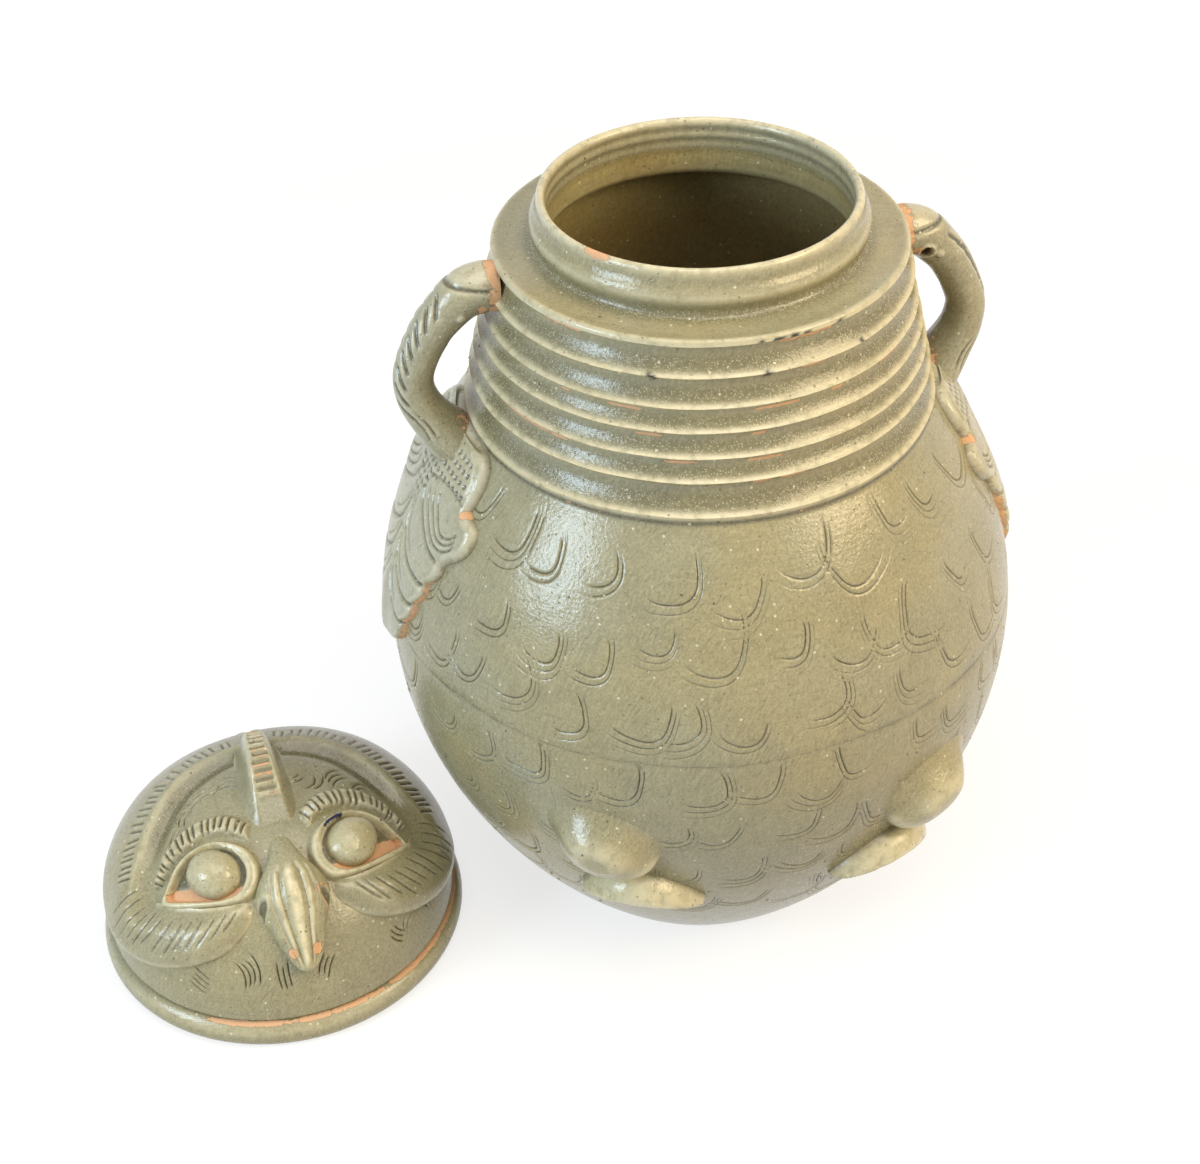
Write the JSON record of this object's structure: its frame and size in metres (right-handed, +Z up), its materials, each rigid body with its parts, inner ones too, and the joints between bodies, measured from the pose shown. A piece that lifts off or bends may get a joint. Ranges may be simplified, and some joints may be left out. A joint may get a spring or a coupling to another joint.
{
  "type": "owl-shaped lidded jar",
  "caption": "Glazed stoneware jar in the shape of an owl, with ribbed collar, bird handles and an owl-head lid that stands beside it.",
  "frame": {"origin": "centre of the jar's flat foot, on the surface that it stands on", "axes": "+Z up along the jar's axis; the owl faces -Y; the bird handles are on -X and +X; the lid stands on the -X side"},
  "size_m": [0.3744, 0.239, 0.3],
  "materials": {
    "celadon_glaze": "glossy olive-green celadon glaze with speckle, fine crackle and bare orange clay at nicks and edges"
  },
  "bodies": {
    "jar": {"jar_lower_body": "celadon_glaze", "jar_upper_body": "celadon_glaze", "bird_handle_left": "celadon_glaze", "bird_handle_right": "celadon_glaze", "bird_plaque_left": "celadon_glaze", "bird_plaque_right": "celadon_glaze", "thigh_left": "celadon_glaze", "thigh_right": "celadon_glaze", "foot_left": "celadon_glaze", "foot_right": "celadon_glaze"},
    "lid": {"lid_shell": "celadon_glaze", "lid_crest": "celadon_glaze", "lid_beak": "celadon_glaze", "lid_brow_left": "celadon_glaze", "lid_brow_right": "celadon_glaze", "lid_eyelid_left": "celadon_glaze", "lid_eyelid_right": "celadon_glaze", "lid_eyeball_left": "celadon_glaze", "lid_eyeball_right": "celadon_glaze", "lid_ruff_left": "celadon_glaze", "lid_ruff_right": "celadon_glaze"}
  },
  "joints": [
    {"name": "lid_lift", "type": "slide", "parent": "jar", "child": "lid", "axis": [-0.3415, -0.0196, 0.9397], "range_m": [0, 0.36]}
  ]
}
